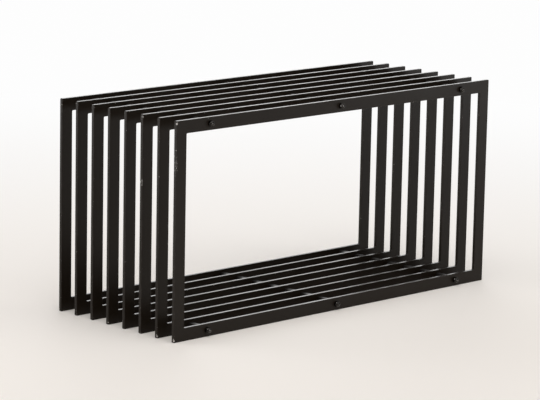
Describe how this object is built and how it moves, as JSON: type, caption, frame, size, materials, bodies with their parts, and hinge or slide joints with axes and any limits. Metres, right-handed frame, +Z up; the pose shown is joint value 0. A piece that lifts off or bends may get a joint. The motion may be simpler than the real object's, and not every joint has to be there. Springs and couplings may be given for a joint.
{
  "type": "firewood rack",
  "caption": "Low firewood rack of upright rectangular flat-bar frames standing one behind the other, tied by threaded rods with spacer sleeves and closed by cap nuts.",
  "frame": {"origin": "on the floor, under the middle of the rack", "axes": "+X along the rack's width, +Y from the front frame to the back frame, +Z up"},
  "size_m": [1.02, 0.423, 0.5],
  "materials": {
    "powder_coat": "matt black powder coat with a fine texture",
    "sleeve_paint": "matt black paint",
    "nut_finish": "black plating, half gloss",
    "rod_steel": "bright zinc plating"
  },
  "bodies": {
    "root": {"frame_1": "powder_coat", "frame_2": "powder_coat", "frame_3": "powder_coat", "frame_4": "powder_coat", "frame_5": "powder_coat", "frame_6": "powder_coat", "frame_7": "powder_coat", "frame_8": "powder_coat", "tie_rod_bottom_left": "rod_steel", "spacer_sleeves_bottom_left": "sleeve_paint", "cap_nuts_bottom_left": "nut_finish", "tie_rod_bottom_middle": "rod_steel", "spacer_sleeves_bottom_middle": "sleeve_paint", "cap_nuts_bottom_middle": "nut_finish", "tie_rod_bottom_right": "rod_steel", "spacer_sleeves_bottom_right": "sleeve_paint", "cap_nuts_bottom_right": "nut_finish", "tie_rod_top_left": "rod_steel", "spacer_sleeves_top_left": "sleeve_paint", "cap_nuts_top_left": "nut_finish", "tie_rod_top_middle": "rod_steel", "spacer_sleeves_top_middle": "sleeve_paint", "cap_nuts_top_middle": "nut_finish", "tie_rod_top_right": "rod_steel", "spacer_sleeves_top_right": "sleeve_paint", "cap_nuts_top_right": "nut_finish"}
  },
  "joints": []
}
